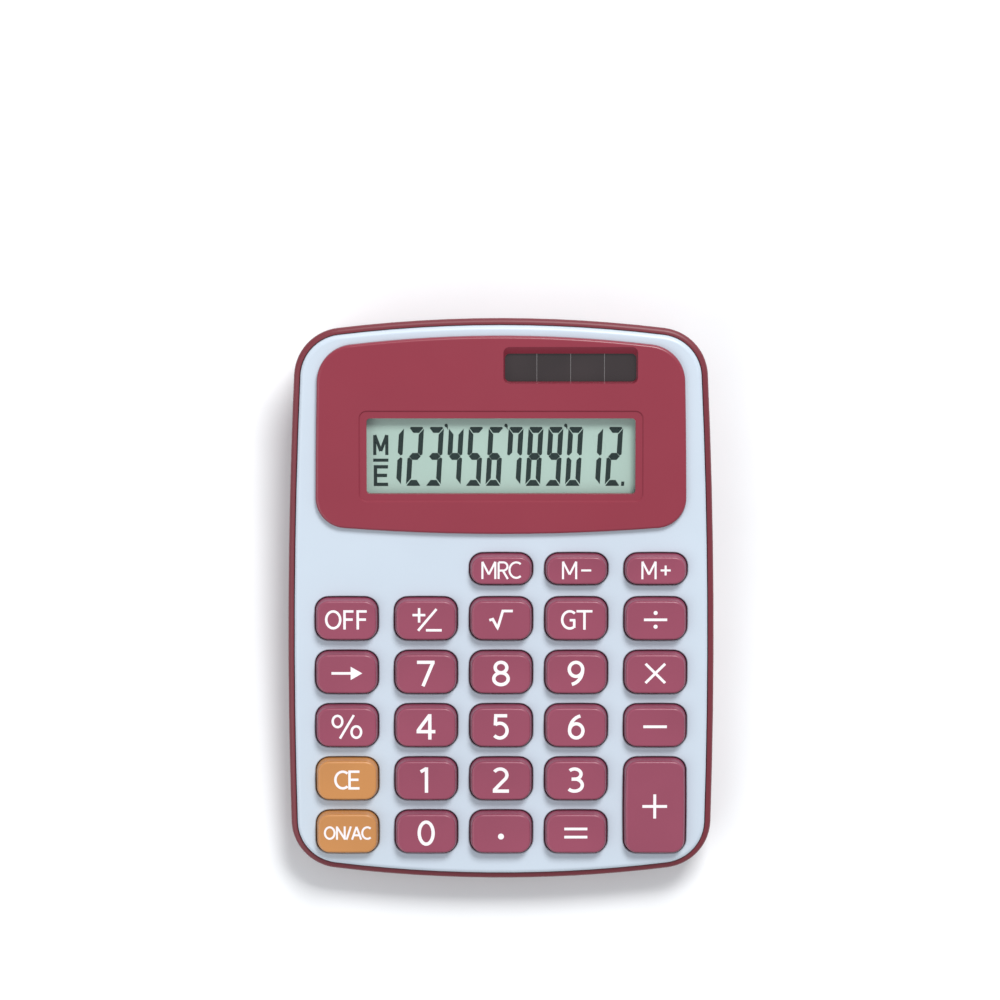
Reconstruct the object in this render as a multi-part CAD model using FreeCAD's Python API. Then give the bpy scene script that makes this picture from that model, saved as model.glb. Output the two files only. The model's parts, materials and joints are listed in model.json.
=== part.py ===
import FreeCAD, Part
import math
import os

# Desk calculator, solar and battery powered, in millimetres.
#
# Two frames are used. The desk frame is the frame of the finished part: +Z up, the desk at Z = 0, +Y towards
# the display end, the origin under the middle of the footprint. The face frame is easier to design in: its
# z = 0 plane is the top of the white cover, x and y are centred on the casing, and z points out of the face.
# on_desk() carries a shape from the face frame to the desk frame.
#
# Every function named make_... returns one or more closed solids for one node.

V = FreeCAD.Vector

# Casing
CASE_WIDTH = 107.0          # at its widest
CASE_LENGTH = 143.0
CASE_WIDEST_Y = -17.0
CASE_SIDE_RADIUS = 1500.0
CASE_END_BOW = 4.3
CASE_CORNER = 12.6
TILT = 5.0                  # degrees, from the desk to the face
FACE_HEIGHT = 18.0          # of the middle of the face above the desk
DESK_SHIFT_Y = -0.21        # centres the footprint on the origin
FOOT_HEIGHT = 1.0
BASE_LOW = FOOT_HEIGHT
BASE_HIGH = BASE_LOW + 2.0
DRAFT = math.tan(math.radians(9.0))
BASE_EDGE = 1.5

# Parting line between the red lower shell and the white cover
RIM_WIDTH = 1.8
RIM_TOP = -1.3
RIM_EDGE = 1.1
RIM_GAP = 0.2
SHELL_WALL = 3.0
COVER_THICKNESS = 2.0
COVER_EDGE = 1.1
SKIRT_DEPTH = 6.0
SKIRT_WALL = 1.2

# Keys
COLUMNS = (-38.6, -18.8, 0.0, 18.8, 38.6)
ROW_PITCH = 13.65
SECOND_ROW = -4.25
ROWS = [8.4] + [SECOND_ROW - ROW_PITCH * i for i in range(5)]
KEY_WIDTH = 15.5
KEY_LENGTH = 10.7
MEMORY_KEY_LENGTH = 7.8
TALL_KEY_LENGTH = KEY_LENGTH + ROW_PITCH
KEY_CORNER = 3.2
KEY_BOW = 0.15
KEY_TAPER = 0.5             # the top is narrower than the base by this on each side
KEY_HEIGHT = 2.8
KEY_DISH = 0.28
KEY_EDGE = 0.5
KEY_WALL = 1.2
KEY_GAP = 0.3
KEY_TRAVEL = 1.3
FLANGE_STEP = 0.65
FLANGE_HIGH = -COVER_THICKNESS - 0.15
FLANGE_LOW = FLANGE_HIGH - 0.9
POST_RADIUS = 1.7

KEY_GRID = {
    "key_memory_recall": (2, 0), "key_memory_minus": (3, 0), "key_memory_plus": (4, 0),
    "key_off": (0, 1), "key_sign": (1, 1), "key_root": (2, 1), "key_grand_total": (3, 1),
    "key_divide": (4, 1),
    "key_shift": (0, 2), "key_7": (1, 2), "key_8": (2, 2), "key_9": (3, 2), "key_multiply": (4, 2),
    "key_percent": (0, 3), "key_4": (1, 3), "key_5": (2, 3), "key_6": (3, 3), "key_minus": (4, 3),
    "key_clear": (0, 4), "key_1": (1, 4), "key_2": (2, 4), "key_3": (3, 4), "key_plus": (4, 4),
    "key_on": (0, 5), "key_0": (1, 5), "key_point": (2, 5), "key_equals": (3, 5),
}

# Rubber keypad and circuit board, below the face
DOME_TOP = -4.3
DOME_BASE_RADIUS = 3.5
DOME_TOP_RADIUS = 2.3
DOME_WALL = 0.45
PILL_RADIUS = 1.5
PILL_THICKNESS = 0.5
PILL_LOW = DOME_TOP - 1.8
MEMBRANE_HIGH = -6.6
BOARD_HIGH = PILL_LOW - KEY_TRAVEL
BOARD_LOW = BOARD_HIGH - 1.2
MEMBRANE_HALF_X = 46.5
MEMBRANE_LOW_Y, MEMBRANE_HIGH_Y = -64.0, 12.7
BOARD_HALF_X = 47.0
BOARD_LOW_Y, BOARD_HIGH_Y = -64.4, 18.0
ROW_GAPS = [2.7] + [(a + b) / 2 for a, b in zip(ROWS[1:], ROWS[2:])]
BOARD_SCREWS = [(x, y) for x in (-28.7, 28.7) for y in (ROW_GAPS[0], ROW_GAPS[2])]
BOARD_SCREWS += [(x, y) for x in (-9.4, 9.4) for y in (ROW_GAPS[1], ROW_GAPS[3])]
BOARD_BOSS_RADIUS = 2.1

# Display panel: a raised red bezel that fills an opening in the cover
BEZEL_HALF_X = 46.2
BEZEL_LOW_Y, BEZEL_HIGH_Y = 17.4, 67.3
BEZEL_RISE = 1.6
BEZEL_EDGE = 0.7
PLUG_HALF_X = 40.1
PLUG_LIP = 1.7
PLUG_GAP = 0.1
LCD_CENTRE = (0.0, 37.1)
LCD_WINDOW = (66.9, 19.1)
LCD_CORNER = 0.9
DISH_BORDER = 2.0
DISH_DEPTH = 0.35
DISH_BEVEL = 0.35
WINDOW_HIGH = -0.3
WINDOW_LOW = WINDOW_HIGH - 1.0
WINDOW_BORDER = 2.0
TAPE_LOW = WINDOW_LOW - 0.3
GLASS = 0.7
LCD_BORDER = 3.0
LCD_LEDGE = 2.6
REFLECTOR_LOW = TAPE_LOW - 2 * GLASS - 0.2
HOLDER_LOW = REFLECTOR_LOW - 1.2
HOLDER_WALL = 4.0
RIBBON_TURN = 1.0
RIBBON_DROP_Y = LCD_CENTRE[1] - LCD_WINDOW[1] / 2 - LCD_BORDER - LCD_LEDGE - RIBBON_TURN
SOLAR_CENTRE = (17.3, 59.2)
SOLAR_WINDOW = (32.6, 7.1)
SOLAR_CELL = (34.0, 8.0, 1.1)
SOLAR_TOP = -0.6

# Case screws, as (x, y) in the face frame; cover bosses and shell columns meet at the foot of the skirt
CASE_SCREWS = ((43.5, 56.0), (-43.5, 56.0), (28.7, -65.2), (-28.7, -65.2))
CASE_BOSS_RADIUS = 2.4
COLUMN_RADIUS = 3.3
SCREW_RADIUS = 1.0
SCREW_HEAD_RADIUS = 1.9
SCREW_HEAD = 1.1
CASE_SCREW_LENGTH = 5.6
CASE_SCREW_LOW = -SKIRT_DEPTH - 1.6 - SCREW_HEAD

# Battery compartment, in the desk frame
BATTERY_RADIUS = 5.2
BATTERY_LENGTH = 43.7
BATTERY_Y = 54.0
BATTERY_Z = BASE_HIGH + 0.8 + BATTERY_RADIUS
BAY_LOW_X, BAY_HIGH_X = -34.0, 17.0
BAY_HALF_Y = 6.4
BAY_WALL = 1.3
BAY_HIGH_Z = 12.2
CONTACT_HIGH_Z = 13.4
BATTERY_X_LOW = BAY_HIGH_X - 0.9 - 0.8 - BATTERY_LENGTH
DOOR_LOW_X, DOOR_HIGH_X = -35.5, 18.5
DOOR_LOW_Y = 45.6
DOOR_PLATE = 1.2
DOOR_GAP = 0.25
DOOR_TONGUE = 1.1
DOOR_GRIP_Y = 64.0

FEET = [(x, y) for x in (-43.0, 43.0) for y in (-57.5, 48.0)]
FOOT_RADIUS = 4.0
FOOT_RECESS = 0.5
WIRE_DIAMETER = 1.1


def on_desk(shape):
    """Carries a shape from the face frame to the desk frame."""
    moved = shape.copy()
    moved.rotate(V(0, 0, 0), V(1, 0, 0), TILT)
    moved.translate(V(0, DESK_SHIFT_Y, FACE_HEIGHT))
    return moved


def box(low, high):
    """A box between two corners."""
    size = [b - a for a, b in zip(low, high)]
    return Part.makeBox(*size, V(*low))


def post(x, y, radius, low, high):
    """An upright cylinder between two heights."""
    return Part.makeCylinder(radius, high - low, V(x, y, low))


def upright(edge):
    """True for a straight edge along z."""
    ends = [v.Point for v in edge.Vertexes]
    return len(ends) == 2 and abs(ends[0].x - ends[1].x) + abs(ends[0].y - ends[1].y) < 1e-6


def flat_face(solid, z):
    """The level face of a solid at a height."""
    return next(f for f in solid.Faces if f.BoundBox.ZLength < 1e-6 and abs(f.BoundBox.ZMin - z) < 1e-6)


def edges_at(solid, z):
    """The edges of a solid that lie level at a height."""
    return [e for e in solid.Edges if e.BoundBox.ZLength < 1e-3 and abs(e.BoundBox.ZMin - z) < 1e-3]


def bow_radius(chord, bow):
    """The radius of an arc from its chord and how far it bows out."""
    return (chord ** 2 / 4 + bow ** 2) / (2 * bow)


def crossing(centre_a, radius_a, centre_b, radius_b, turn):
    """One of the two points where two circles cross, on the side that turn (1 or -1) picks."""
    between = centre_b - centre_a
    along = (radius_a ** 2 - radius_b ** 2 + between.Length ** 2) / (2 * between.Length)
    across = math.sqrt(radius_a ** 2 - along ** 2)
    unit = V(between).normalize()
    return centre_a + unit * along + V(-unit.y, unit.x, 0) * across * turn


def bowed(half_x, widest_y, side_radius, low_y, high_y, low_bow, high_bow, low_corner, high_corner,
          shrink=0.0):
    """A flat face whose four sides bow outwards and whose corners are rounded, drawn in by shrink all round.

    Every edge is an arc, and an arc that is drawn in keeps its centre. It is half_x wide to each side at
    widest_y."""
    side = V(half_x - side_radius, widest_y, 0)
    chord = 2 * half_x
    right = []
    for sign, edge_y, bow, corner in ((-1, low_y, low_bow, low_corner), (1, high_y, high_bow, high_corner)):
        end_radius = bow_radius(chord, bow)
        end = V(0, edge_y - sign * end_radius, 0)
        centre = crossing(end, end_radius - corner, side, side_radius - corner, -sign)
        to_end, to_side = (centre - end).normalize(), (centre - side).normalize()
        radius = corner - shrink
        between = (to_side + to_end).normalize()
        right.append([centre + direction * radius for direction in (to_side, between, to_end)])
    (low_side, low_mid, low_end), (high_side, high_mid, high_end) = right
    across = [V(-p.x, p.y, 0) for p in (high_end, high_mid, high_side, low_side, low_mid, low_end)]
    halfway = ((low_side - side).normalize() + (high_side - side).normalize()).normalize()
    right_mid = side + halfway * (side_radius - shrink)
    left_mid = V(-right_mid.x, right_mid.y, 0)
    arcs = (
        (low_side, right_mid, high_side), (high_side, high_mid, high_end),
        (high_end, V(0, high_y - shrink, 0), across[0]), (across[0], across[1], across[2]),
        (across[2], left_mid, across[3]), (across[3], across[4], across[5]),
        (across[5], V(0, low_y + shrink, 0), low_end), (low_end, low_mid, low_side),
    )
    return Part.Face(Part.Wire([Part.Arc(*arc).toShape() for arc in arcs]))


def rounded(centre, size, corner):
    """A flat rectangle with rounded corners."""
    low = [c - s / 2 for c, s in zip(centre, size)]
    slab = Part.makeBox(size[0], size[1], 1, V(*low, 0))
    slab = slab.makeFillet(corner, [e for e in slab.Edges if upright(e)])
    return flat_face(slab, 0)


def prism(face, low, high):
    """A face extruded between two heights."""
    return face.translated(V(0, 0, low)).extrude(V(0, 0, high - low))


def taper(low_face, low, high_face, high):
    """A solid between two outlines at two heights."""
    wires = [low_face.OuterWire.translated(V(0, 0, low)), high_face.OuterWire.translated(V(0, 0, high))]
    return Part.makeLoft(wires, True, True)


def tube(points, diameter):
    """A wire or cable along straight runs, joined by tangent arcs as large as the runs allow."""
    knots = [V(*p) for p in points]
    edges, start = [], knots[0]
    for before, corner, after in zip(knots, knots[1:], knots[2:]):
        incoming, outgoing = (corner - before).normalize(), (after - corner).normalize()
        back = 0.45 * min((corner - before).Length, (after - corner).Length)
        first, last = corner - incoming * back, corner + outgoing * back
        half_turn = incoming.getAngle(outgoing) / 2
        radius = back / math.tan(half_turn)
        inward = (outgoing - incoming).normalize()
        centre = corner + inward * (radius / math.cos(half_turn))
        middle = centre - inward * radius
        edges += [Part.LineSegment(start, first).toShape(), Part.Arc(first, middle, last).toShape()]
        start = last
    edges.append(Part.LineSegment(start, knots[-1]).toShape())
    path = Part.Wire(edges)
    section = Part.Wire(Part.makeCircle(diameter / 2, knots[0], knots[1] - knots[0]))
    return path.makePipeShell([section], True, False)


def case_outline(shrink=0.0):
    """The outline of the whole casing, drawn in on every side."""
    half_x, half_y, bow, corner = CASE_WIDTH / 2, CASE_LENGTH / 2, CASE_END_BOW, CASE_CORNER
    return bowed(half_x, CASE_WIDEST_Y, CASE_SIDE_RADIUS, -half_y, half_y, bow, bow, corner, corner, shrink)


def bezel_outline(shrink=0.0):
    """The outline of the raised display panel, drawn in on every side."""
    return bowed(BEZEL_HALF_X, 20.0, CASE_SIDE_RADIUS, BEZEL_LOW_Y, BEZEL_HIGH_Y, 2.1, 3.4, 7.6, 9.4, shrink)


def plug_outline(grow=0.0):
    """The outline of the part of the display panel that drops through the cover, let out on every side."""
    low_y, high_y = BEZEL_LOW_Y + PLUG_LIP, BEZEL_HIGH_Y - PLUG_LIP
    return bowed(PLUG_HALF_X, 40.0, CASE_SIDE_RADIUS, low_y, high_y, 1.5, 1.9, 5.0, 5.0, -grow)


def key_length(row, name):
    """The length of a key's base along y."""
    if row == 0:
        return MEMORY_KEY_LENGTH
    return TALL_KEY_LENGTH if name == "key_plus" else KEY_LENGTH


def key_place(name):
    """The middle of a key and its length, in the face frame."""
    column, row = KEY_GRID[name]
    length = key_length(row, name)
    y = ROWS[row] - (ROW_PITCH / 2 if name == "key_plus" else 0)
    return COLUMNS[column], y, length


def key_outline(length, shrink=0.0):
    """The outline of a key centred on its own middle, drawn in on every side."""
    half_x, half_y, bow, corner = KEY_WIDTH / 2, length / 2, KEY_BOW, KEY_CORNER
    return bowed(half_x, 0.0, bow_radius(length, bow), -half_y, half_y, bow, bow, corner, corner, shrink)


def make_key(length):
    """A hollow moulded key: dished crown, flange that keeps it under the cover, post that meets its dome."""
    base = key_outline(length)
    crown = taper(base, 0, key_outline(length, KEY_TAPER), KEY_HEIGHT)
    half_top = length / 2 - KEY_TAPER
    dish_radius = half_top ** 2 / (2 * (KEY_DISH - 0.05))
    dish = Part.makeCylinder(
        dish_radius, 2 * KEY_WIDTH, V(-KEY_WIDTH, 0, KEY_HEIGHT - KEY_DISH + dish_radius), V(1, 0, 0))
    crown = crown.cut(dish)
    top_edges = [e for e in crown.Edges if e.BoundBox.ZMin > KEY_HEIGHT - KEY_DISH - 0.1]
    crown = crown.makeFillet(KEY_EDGE, top_edges)
    flange = prism(key_outline(length, -FLANGE_STEP), FLANGE_LOW, FLANGE_HIGH)
    body = crown.fuse([prism(base, FLANGE_LOW, 0), flange])
    ceiling = KEY_HEIGHT - KEY_DISH - KEY_WALL
    inner_low, inner_high = key_outline(length, KEY_WALL), key_outline(length, KEY_WALL + KEY_TAPER)
    hollow = taper(inner_low, FLANGE_LOW, inner_high, ceiling)
    rib = Part.makeBox(KEY_WIDTH - 2, 1.0, ceiling - FLANGE_HIGH, V(1 - KEY_WIDTH / 2, -0.5, FLANGE_HIGH))
    stem = post(0, 0, POST_RADIUS, DOME_TOP + 0.05, ceiling + 0.3)
    return body.cut(hollow).fuse(rib.common(hollow)).fuse(stem).removeSplitter()


def make_keys():
    """Every key in its place in the face frame, by name."""
    patterns = {}
    keys = {}
    for name in KEY_GRID:
        x, y, length = key_place(name)
        if length not in patterns:
            patterns[length] = make_key(length)
        keys[name] = patterns[length].translated(V(x, y, 0))
    return keys


def key_openings():
    """The outlines of the key openings, with the running gap."""
    openings = []
    for name in KEY_GRID:
        x, y, length = key_place(name)
        openings.append(key_outline(length, -KEY_GAP).translated(V(x, y, 0)))
    return openings


def make_top_cover():
    """The white cover: a flat face with a skirt, key openings, the display opening and screw bosses."""
    openings = [plug_outline(PLUG_GAP), *key_openings()]
    wires = [case_outline(RIM_WIDTH).OuterWire] + [face.OuterWire for face in openings]
    plate = prism(Part.makeFace(wires, "Part::FaceMakerBullseye"), -COVER_THICKNESS, 0)
    plate = plate.makeFillet(COVER_EDGE, flat_face(plate, 0).OuterWire.Edges)
    openings_edges = [e for wire in flat_face(plate, 0).Wires[1:] for e in wire.Edges]
    plate = plate.makeChamfer(0.2, openings_edges)
    skirt_wires = [case_outline(RIM_WIDTH).OuterWire, case_outline(RIM_WIDTH + SKIRT_WALL).OuterWire]
    skirt = prism(Part.makeFace(skirt_wires, "Part::FaceMakerBullseye"), -SKIRT_DEPTH, -COVER_THICKNESS)
    bosses, pilots = [], []
    for x, y in BOARD_SCREWS:
        bosses.append(post(x, y, BOARD_BOSS_RADIUS, BOARD_HIGH, -COVER_THICKNESS))
        pilots.append(post(x, y, SCREW_RADIUS, BOARD_HIGH, -COVER_THICKNESS + 0.8))
    inside = prism(case_outline(RIM_WIDTH + SKIRT_WALL / 2), -SKIRT_DEPTH, -COVER_THICKNESS)
    for x, y in CASE_SCREWS:
        bosses.append(post(x, y, CASE_BOSS_RADIUS, -SKIRT_DEPTH, -COVER_THICKNESS).common(inside))
        pilots.append(post(x, y, SCREW_RADIUS, -SKIRT_DEPTH, -COVER_THICKNESS + 0.8))
    return plate.fuse([skirt, *bosses]).cut(pilots).removeSplitter()


def make_display_bezel():
    """The raised red display panel, with a shallow dish round the display and a slot for the solar cell."""
    rim = prism(bezel_outline(), 0, BEZEL_RISE)
    rim = rim.makeFillet(BEZEL_EDGE, edges_at(rim, BEZEL_RISE))
    plug = prism(plug_outline(), -COVER_THICKNESS, 0)
    bezel = rim.fuse(plug)
    top = BEZEL_RISE
    dish_floor = top - DISH_DEPTH
    opening = rounded(LCD_CENTRE, LCD_WINDOW, LCD_CORNER)
    floor_size = [s + 2 * (DISH_BORDER - DISH_BEVEL) for s in LCD_WINDOW]
    dish_size = [s + 2 * DISH_BORDER for s in LCD_WINDOW]
    dish_floor_face = rounded(LCD_CENTRE, floor_size, LCD_CORNER + 0.8)
    dish = taper(dish_floor_face, dish_floor, rounded(LCD_CENTRE, dish_size, LCD_CORNER + 1.15), top + 0.001)
    tools = [dish, prism(opening, -COVER_THICKNESS - 1, dish_floor + 0.01)]
    pocket = rounded(LCD_CENTRE, [s + 2 * WINDOW_BORDER + 0.2 for s in LCD_WINDOW], LCD_CORNER)
    tools.append(prism(pocket, -COVER_THICKNESS - 1, WINDOW_HIGH))
    tools.append(lcd_seat(0.2, -COVER_THICKNESS - 1, TAPE_LOW))
    solar = rounded(SOLAR_CENTRE, SOLAR_WINDOW, 1.2)
    upper_slope, side_slope, lower_slope = 1.9, 0.4, 0.2
    mouth_centre = (SOLAR_CENTRE[0], SOLAR_CENTRE[1] + (upper_slope - lower_slope) / 2)
    mouth_size = (SOLAR_WINDOW[0] + 2 * side_slope, SOLAR_WINDOW[1] + upper_slope + lower_slope)
    tools.append(taper(solar, 0.0, rounded(mouth_centre, mouth_size, 1.5), top + 0.001))
    tools.append(prism(solar, -COVER_THICKNESS - 1, 0.01))
    cell = rounded(SOLAR_CENTRE, [s + 0.3 for s in SOLAR_CELL[:2]], 0.5)
    tools.append(prism(cell, -COVER_THICKNESS - 1, SOLAR_TOP))
    bezel = bezel.cut(tools)
    for x, y in holder_screws():
        bezel = bezel.cut(post(x, y, 0.8, -COVER_THICKNESS - 1, 0.4))
    return bezel.removeSplitter()


def lcd_seat(gap, low, high):
    """The block that the LCD's two glasses fill, with its contact ledge on the key side."""
    half_x = LCD_WINDOW[0] / 2 + LCD_BORDER + gap
    half_y = LCD_WINDOW[1] / 2 + LCD_BORDER + gap
    x, y = LCD_CENTRE
    return box((x - half_x, y - half_y - LCD_LEDGE, low), (x + half_x, y + half_y, high))


def holder_screws():
    """Where the four screws of the LCD holder go."""
    x, y = LCD_CENTRE
    step_x = LCD_WINDOW[0] / 2 + LCD_BORDER + 2.2
    step_y = LCD_WINDOW[1] / 2 + LCD_BORDER - 2.0
    return [(x + i * step_x, y + j * step_y) for i in (-1, 1) for j in (-1, 1)]


def make_display_window():
    """The clear plate in front of the LCD."""
    size = [s + 2 * WINDOW_BORDER for s in LCD_WINDOW]
    return prism(rounded(LCD_CENTRE, size, LCD_CORNER), WINDOW_LOW, WINDOW_HIGH)


def make_window_tape():
    """The frame of foam tape between the clear plate and the LCD."""
    outer = rounded(LCD_CENTRE, [s + 2 * WINDOW_BORDER for s in LCD_WINDOW], LCD_CORNER)
    inner = rounded(LCD_CENTRE, [s + 0.8 for s in LCD_WINDOW], LCD_CORNER)
    return prism(outer, TAPE_LOW, WINDOW_LOW).cut(prism(inner, TAPE_LOW - 1, WINDOW_LOW + 1))


def make_lcd_front_glass():
    """The LCD's front glass, which leaves the rear glass's contact ledge bare."""
    block = lcd_seat(0.0, TAPE_LOW - GLASS, TAPE_LOW)
    ledge_top = LCD_CENTRE[1] - LCD_WINDOW[1] / 2 - LCD_BORDER
    return block.cut(box((-99, ledge_top - 20, -9), (99, ledge_top, 9)))


def make_lcd_rear_glass():
    """The LCD's rear glass."""
    return lcd_seat(0.0, TAPE_LOW - 2 * GLASS, TAPE_LOW - GLASS)


def make_lcd_reflector():
    """The reflecting film behind the LCD."""
    return lcd_seat(-0.3, REFLECTOR_LOW, TAPE_LOW - 2 * GLASS)


def make_lcd_holder():
    """The moulded frame that clamps the LCD into the bezel from behind."""
    half_x = LCD_WINDOW[0] / 2 + LCD_BORDER + HOLDER_WALL
    half_y = LCD_WINDOW[1] / 2 + LCD_BORDER + 1.8
    x, y = LCD_CENTRE
    block = box(
        (x - half_x, y - half_y - LCD_LEDGE, HOLDER_LOW), (x + half_x, y + half_y, -COVER_THICKNESS - 0.05))
    holder = block.cut(lcd_seat(0.2, REFLECTOR_LOW, 9))
    holder = holder.cut(box((x - 31, y - 99, HOLDER_LOW - 1), (x + 31, RIBBON_DROP_Y + 0.9, 9)))
    holder = holder.cut(prism(rounded(LCD_CENTRE, (56, 14), 3), HOLDER_LOW - 1, 9))
    for sx, sy in holder_screws():
        holder = holder.cut(post(sx, sy, 1.0, HOLDER_LOW - 1, 9))
    return holder.removeSplitter()


def make_lcd_ribbon():
    """The heat-seal ribbon from the LCD's contact ledge down to the edge of the circuit board."""
    film = 0.12
    ledge_z = TAPE_LOW - GLASS + film / 2
    board_z = BOARD_HIGH + film / 2
    ledge_y = LCD_CENTRE[1] - LCD_WINDOW[1] / 2 - LCD_BORDER
    turn, drop_y = RIBBON_TURN, RIBBON_DROP_Y
    quarter = turn * math.sin(math.radians(45))
    points = [
        V(0, ledge_y - 0.3, ledge_z), V(0, drop_y + turn, ledge_z),
        V(0, drop_y + turn - quarter, ledge_z - turn + quarter), V(0, drop_y, ledge_z - turn),
        V(0, drop_y, board_z + turn),
        V(0, drop_y - turn + quarter, board_z + turn - quarter), V(0, drop_y - turn, board_z),
        V(0, drop_y - turn - 3.5, board_z),
    ]
    edges = [
        Part.LineSegment(points[0], points[1]).toShape(), Part.Arc(*points[1:4]).toShape(),
        Part.LineSegment(points[3], points[4]).toShape(), Part.Arc(*points[4:7]).toShape(),
        Part.LineSegment(points[6], points[7]).toShape(),
    ]
    half = film / 2
    section = ((-29, -half), (29, -half), (29, half), (-29, half), (-29, -half))
    corners = [points[0] + V(x, 0, z) for x, z in section]
    return Part.Wire(edges).makePipeShell([Part.makePolygon(corners)], True, False)


def make_solar_cell():
    """The amorphous silicon solar cell, on glass."""
    x, y = SOLAR_CENTRE
    length, width, thickness = SOLAR_CELL
    low = (x - length / 2, y - width / 2, SOLAR_TOP - thickness)
    return box(low, (x + length / 2, y + width / 2, SOLAR_TOP))


def dome_places():
    """The middle of each key, where its dome stands."""
    return [key_place(name)[:2] for name in KEY_GRID]


def make_keypad_membrane():
    """The moulded rubber sheet with one hollow dome under each key."""
    sheet = rounded_sheet(MEMBRANE_HALF_X, MEMBRANE_LOW_Y, MEMBRANE_HIGH_Y, BOARD_HIGH, MEMBRANE_HIGH)
    outers, hollows = [], []
    for x, y in dome_places():
        place = V(x, y, MEMBRANE_HIGH)
        outers.append(Part.makeCone(DOME_BASE_RADIUS, DOME_TOP_RADIUS, DOME_TOP - MEMBRANE_HIGH, place))
        low_radius, high_radius = DOME_BASE_RADIUS - DOME_WALL, DOME_TOP_RADIUS - DOME_WALL
        height = PILL_LOW + PILL_THICKNESS - BOARD_HIGH
        hollows.append(Part.makeCone(low_radius, high_radius, height, V(x, y, BOARD_HIGH)))
    sheet = sheet.fuse(outers).cut(hollows)
    for x, y in BOARD_SCREWS:
        sheet = sheet.cut(post(x, y, BOARD_BOSS_RADIUS + 0.2, BOARD_LOW, 0))
    return sheet.removeSplitter()


def rounded_sheet(half_x, low_y, high_y, low, high):
    """A level sheet with rounded corners, notched round the columns of the lower shell."""
    sheet = prism(rounded((0, (low_y + high_y) / 2), (2 * half_x, high_y - low_y), 4.0), low, high)
    return sheet.cut([post(x, y, COLUMN_RADIUS + 0.4, low - 1, high + 1) for x, y in CASE_SCREWS])


def make_contact_pills():
    """The conductive pill inside each dome, as separate solids."""
    pills = [post(x, y, PILL_RADIUS, PILL_LOW, PILL_LOW + PILL_THICKNESS) for x, y in dome_places()]
    return Part.makeCompound(pills)


def make_circuit_board():
    """The circuit board under the rubber sheet."""
    board = rounded_sheet(BOARD_HALF_X, BOARD_LOW_Y, BOARD_HIGH_Y, BOARD_LOW, BOARD_HIGH)
    for x, y in BOARD_SCREWS:
        board = board.cut(post(x, y, SCREW_RADIUS + 0.15, BOARD_LOW - 1, BOARD_HIGH + 1))
    return board


def make_chip():
    """The processor chip under its dome of epoxy, on the back of the board."""
    radius, height = 6.0, 1.6
    sphere_radius = (radius ** 2 + height ** 2) / (2 * height)
    ball = Part.makeSphere(sphere_radius, V(0, -24.2, BOARD_LOW + sphere_radius - height))
    return ball.common(box((-9, -34, BOARD_LOW - height - 1), (9, -14, BOARD_LOW)))


def make_board_components():
    """The capacitors, resistors and diode on the back of the board, as separate solids."""
    chips = [(-20 + 8 * i, 10.0) for i in range(6)] + [(-15, -6), (15, -6)]
    parts = [box((x - 1, y - 0.6, BOARD_LOW - 0.7), (x + 1, y + 0.6, BOARD_LOW)) for x, y in chips]
    parts.append(Part.makeCylinder(2.0, 6.0, V(30, 6, BOARD_LOW - 2.0), V(0, 1, 0)))
    parts.append(post(-28, 10, 2.0, BOARD_LOW - 4.0, BOARD_LOW))
    return Part.makeCompound(parts)


def pan_screw(x, y, head_low, length):
    """A pan-head screw that points up, with a cross slot in its head."""
    head = post(x, y, SCREW_HEAD_RADIUS, head_low, head_low + SCREW_HEAD)
    head = head.makeFillet(0.4, edges_at(head, head_low))
    shank = post(x, y, SCREW_RADIUS - 0.05, head_low + SCREW_HEAD, head_low + SCREW_HEAD + length)
    screw = head.fuse(shank)
    for width, depth in ((2.2, 0.5), (0.5, 2.2)):
        slot = box((x - width / 2, y - depth / 2, head_low), (x + width / 2, y + depth / 2, head_low + 0.6))
        screw = screw.cut(slot)
    return screw


def make_board_screws():
    """The screws that clamp board and rubber sheet to the cover, as separate solids."""
    return Part.makeCompound([pan_screw(x, y, BOARD_LOW - SCREW_HEAD, 4.5) for x, y in BOARD_SCREWS])


def make_holder_screws():
    """The small screws of the LCD holder, as separate solids."""
    screws = []
    for x, y in holder_screws():
        head = post(x, y, 1.5, HOLDER_LOW - 0.8, HOLDER_LOW)
        screws.append(head.fuse(post(x, y, 0.75, HOLDER_LOW, 0.3)).cut(
            box((x - 1.0, y - 0.2, HOLDER_LOW - 0.8), (x + 1.0, y + 0.2, HOLDER_LOW - 0.4))))
    return Part.makeCompound(screws)


def make_case_screws():
    """The four screws that hold the two casing halves together, as separate solids."""
    return Part.makeCompound([pan_screw(x, y, CASE_SCREW_LOW, CASE_SCREW_LENGTH) for x, y in CASE_SCREWS])


def make_casing_block():
    """The outside of the lower shell as one solid wedge with drafted walls and rounded edges. Desk frame."""
    deep = -40.0
    block = taper(case_outline(DRAFT * (RIM_TOP - deep)), deep, case_outline(), RIM_TOP)
    block = block.makeFillet(RIM_EDGE, edges_at(block, RIM_TOP))
    block = on_desk(block).cut(box((-99, -99, -60), (99, 99, BASE_LOW)))
    return block.makeFillet(BASE_EDGE, edges_at(block, BASE_LOW))


def door_slot(clearance):
    """The space that the sliding battery cover fills, open towards the rear. Desk frame."""
    low_y, high_z = DOOR_LOW_Y - clearance, BASE_LOW + DOOR_PLATE + clearance / 2
    plate = box((DOOR_LOW_X - clearance, low_y, 0), (DOOR_HIGH_X + clearance, 99, high_z))
    low_x, high_x = DOOR_LOW_X - DOOR_TONGUE - clearance, DOOR_HIGH_X + DOOR_TONGUE + clearance
    tongues = box((low_x, low_y, BASE_LOW + DOOR_PLATE - 0.6 - clearance / 2), (high_x, 99, high_z))
    return plate, tongues


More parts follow.
